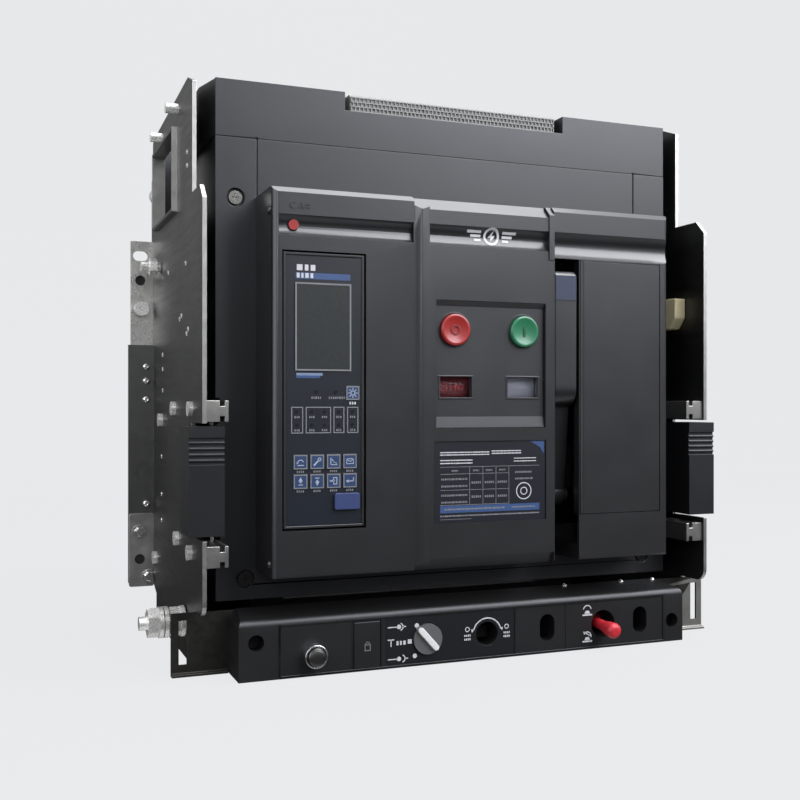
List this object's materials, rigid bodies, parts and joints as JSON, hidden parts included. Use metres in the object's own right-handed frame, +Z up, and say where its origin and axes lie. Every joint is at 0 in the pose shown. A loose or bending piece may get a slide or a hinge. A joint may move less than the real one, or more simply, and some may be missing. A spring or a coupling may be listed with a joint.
{
  "type": "draw-out air circuit breaker",
  "caption": "Draw-out low-voltage air circuit breaker in a steel cradle, with trip controller, push buttons, charging handle and racking controls.",
  "frame": {"origin": "centre of the flat underside of the cradle tray's footprint", "axes": "+Z up, -Y towards the operator, +X to the operator's right"},
  "size_m": [0.4795, 0.3872, 0.437],
  "materials": {
    "case_grey": "satin moulding",
    "facia_grey": "satin moulding",
    "black_plastic": "satin black moulding",
    "overlay_navy": "printed film",
    "lcd_grey": "clear window over a grey display",
    "tab_blue": "satin",
    "button_red": "gloss",
    "button_green": "gloss",
    "flag_red": "satin",
    "flag_white": "satin",
    "nylon_cream": "natural nylon",
    "shutter_brown": "glass-filled moulding",
    "arc_fibre": "insulating fibre with steel splitters",
    "connector_grey": "satin",
    "knob_grey": "satin",
    "galvanised": "bright zinc coated sheet",
    "zinc_screw": "bright zinc",
    "chrome": "polished",
    "mechanism_steel": "plain steel",
    "black_steel": "blackened",
    "copper": "silver plated copper"
  },
  "bodies": {
    "cradle": {"cradle_side_plate_left": "galvanised", "cradle_side_plate_right": "galvanised", "cradle_base_tray": "galvanised", "racking_panel": "black_plastic", "panel_symbol_plate": "overlay_navy", "button_bezel": "chrome", "rear_insulating_base": "case_grey", "pole_barriers": "case_grey", "upper_terminals": "copper", "lower_terminals": "copper", "upper_guide_left": "galvanised", "upper_guide_right": "galvanised", "lower_guide_left": "galvanised", "lower_guide_right": "galvanised", "mounting_ears": "galvanised", "side_plate_screws": "zinc_screw", "side_plate_pins": "zinc_screw", "earth_terminal": "zinc_screw", "nylon_guide_blocks": "nylon_cream", "panel_screws": "black_steel"},
    "left_rail": {"extension_rail_left": "galvanised", "rail_grip_left": "black_plastic"},
    "right_rail": {"extension_rail_right": "galvanised", "rail_grip_right": "black_plastic"},
    "screw": {"racking_screw": "mechanism_steel"},
    "carriage": {"racking_carriage": "galvanised"},
    "pointer": {"position_indicator": "knob_grey"},
    "release_button": {"racking_release_button": "black_plastic"},
    "slider": {"padlock_slider": "black_plastic"},
    "lever": {"locking_lever": "button_red"},
    "shutter_top": {"upper_shutter": "shutter_brown"},
    "shutter_bottom": {"lower_shutter": "shutter_brown"},
    "breaker": {"front_case": "case_grey", "rear_case": "case_grey", "arc_chute_cover": "case_grey", "secondary_terminal_block": "connector_grey", "arc_chutes": "arc_fibre", "facia": "facia_grey", "controller": "facia_grey", "key_membrane": "overlay_navy", "controller_screen": "lcd_grey", "controller_tab": "tab_blue", "button_panel": "facia_grey", "nameplate": "overlay_navy", "right_cover": "facia_grey", "mechanism_frame": "mechanism_steel", "upper_conductors": "copper", "lower_conductors": "copper", "jaw_contacts": "copper", "current_transformers": "black_plastic", "case_screws": "zinc_screw"},
    "button_off": {"off_button": "button_red"},
    "button_on": {"on_button": "button_green"},
    "button_reset": {"reset_button": "button_red"},
    "flag_state": {"on_off_flag": "flag_red"},
    "flag_spring": {"charge_flag": "flag_white"},
    "handle": {"charging_handle": "black_plastic"},
    "shaft": {"main_shaft": "mechanism_steel"},
    "contacts": {"moving_contacts": "copper"},
    "cam": {"charging_cam": "mechanism_steel"}
  },
  "joints": [
    {"name": "left_rail_slide", "type": "slide", "parent": "cradle", "child": "left_rail", "axis": [0, -1, 0], "range_m": [0, 0.11]},
    {"name": "right_rail_slide", "type": "slide", "parent": "cradle", "child": "right_rail", "axis": [0, -1, 0], "range_m": [0, 0.11]},
    {"name": "racking", "type": "slide", "parent": "cradle", "child": "carriage", "axis": [0, -1, 0], "range_m": [0, 0.06]},
    {"name": "screw_turn", "type": "hinge", "parent": "cradle", "child": "screw", "pos_m": [0.0046, -0.11, 0.0194], "axis": [0, -1, 0], "range_deg": [0, 2160]},
    {"name": "pointer_turn", "type": "hinge", "parent": "cradle", "child": "pointer", "pos_m": [-0.0447, -0.134, 0.0196], "axis": [0, -1, 0], "range_deg": [0, 97]},
    {"name": "release_press", "type": "slide", "parent": "cradle", "child": "release_button", "axis": [0, 1, 0], "range_m": [0, 0.004], "stiffness_N_per_m": 300, "springref_m": -0.001},
    {"name": "slider_pull", "type": "slide", "parent": "cradle", "child": "slider", "axis": [0, -1, 0], "range_m": [0, 0.014]},
    {"name": "lever_tilt", "type": "hinge", "parent": "cradle", "child": "lever", "pos_m": [0.1073, -0.116, 0.0193], "axis": [1, 0, 0], "range_deg": [-12, 9]},
    {"name": "withdraw", "type": "slide", "parent": "carriage", "child": "breaker", "axis": [0, -1, 0], "range_m": [0, 0.25]},
    {"name": "shutter_top_drop", "type": "slide", "parent": "cradle", "child": "shutter_top", "axis": [0, 0, -1], "range_m": [0, 0.041]},
    {"name": "shutter_bottom_drop", "type": "slide", "parent": "cradle", "child": "shutter_bottom", "axis": [0, 0, -1], "range_m": [0, 0.041]},
    {"name": "off_press", "type": "slide", "parent": "breaker", "child": "button_off", "axis": [0, 1, 0], "range_m": [0, 0.004], "stiffness_N_per_m": 400, "springref_m": -0.001},
    {"name": "on_press", "type": "slide", "parent": "breaker", "child": "button_on", "axis": [0, 1, 0], "range_m": [0, 0.004], "stiffness_N_per_m": 400, "springref_m": -0.001},
    {"name": "reset_press", "type": "slide", "parent": "breaker", "child": "button_reset", "axis": [0, 1, 0], "range_m": [0, 0.003], "stiffness_N_per_m": 300, "springref_m": -0.001},
    {"name": "handle_pull", "type": "hinge", "parent": "breaker", "child": "handle", "pos_m": [0.0699, -0.12, 0.122], "axis": [1, 0, 0], "range_deg": [0, 70], "stiffness_Nm_per_rad": 0.8, "springref_deg": -22.92},
    {"name": "shaft_turn", "type": "hinge", "parent": "breaker", "child": "shaft", "pos_m": [0, -0.054, 0.15], "axis": [1, 0, 0], "range_deg": [0, 50]},
    {"name": "contacts_close", "type": "hinge", "parent": "breaker", "child": "contacts", "pos_m": [0, 0, 0.152], "axis": [-1, 0, 0], "range_deg": [0, 14.1]},
    {"name": "state_flag_turn", "type": "hinge", "parent": "breaker", "child": "flag_state", "pos_m": [-0.0234, -0.116, 0.207], "axis": [1, 0, 0], "range_deg": [0, 50.1]},
    {"name": "cam_turn", "type": "hinge", "parent": "breaker", "child": "cam", "pos_m": [0, -0.062, 0.235], "axis": [1, 0, 0], "range_deg": [0, 150]},
    {"name": "spring_flag_turn", "type": "hinge", "parent": "breaker", "child": "flag_spring", "pos_m": [0.033, -0.116, 0.207], "axis": [1, 0, 0], "range_deg": [0, 50.1]}
  ],
  "couplings": [
    {"joint": "screw_turn", "follows": "racking", "rad_per_m": 628.27},
    {"joint": "pointer_turn", "follows": "racking", "rad_per_m": 28},
    {"joint": "shutter_top_drop", "follows": "withdraw", "ratio": 0.16},
    {"joint": "shutter_bottom_drop", "follows": "withdraw", "ratio": 0.16},
    {"joint": "contacts_close", "follows": "shaft_turn", "ratio": 0.28},
    {"joint": "state_flag_turn", "follows": "shaft_turn", "ratio": 1},
    {"joint": "spring_flag_turn", "follows": "cam_turn", "ratio": 0.3333}
  ]
}
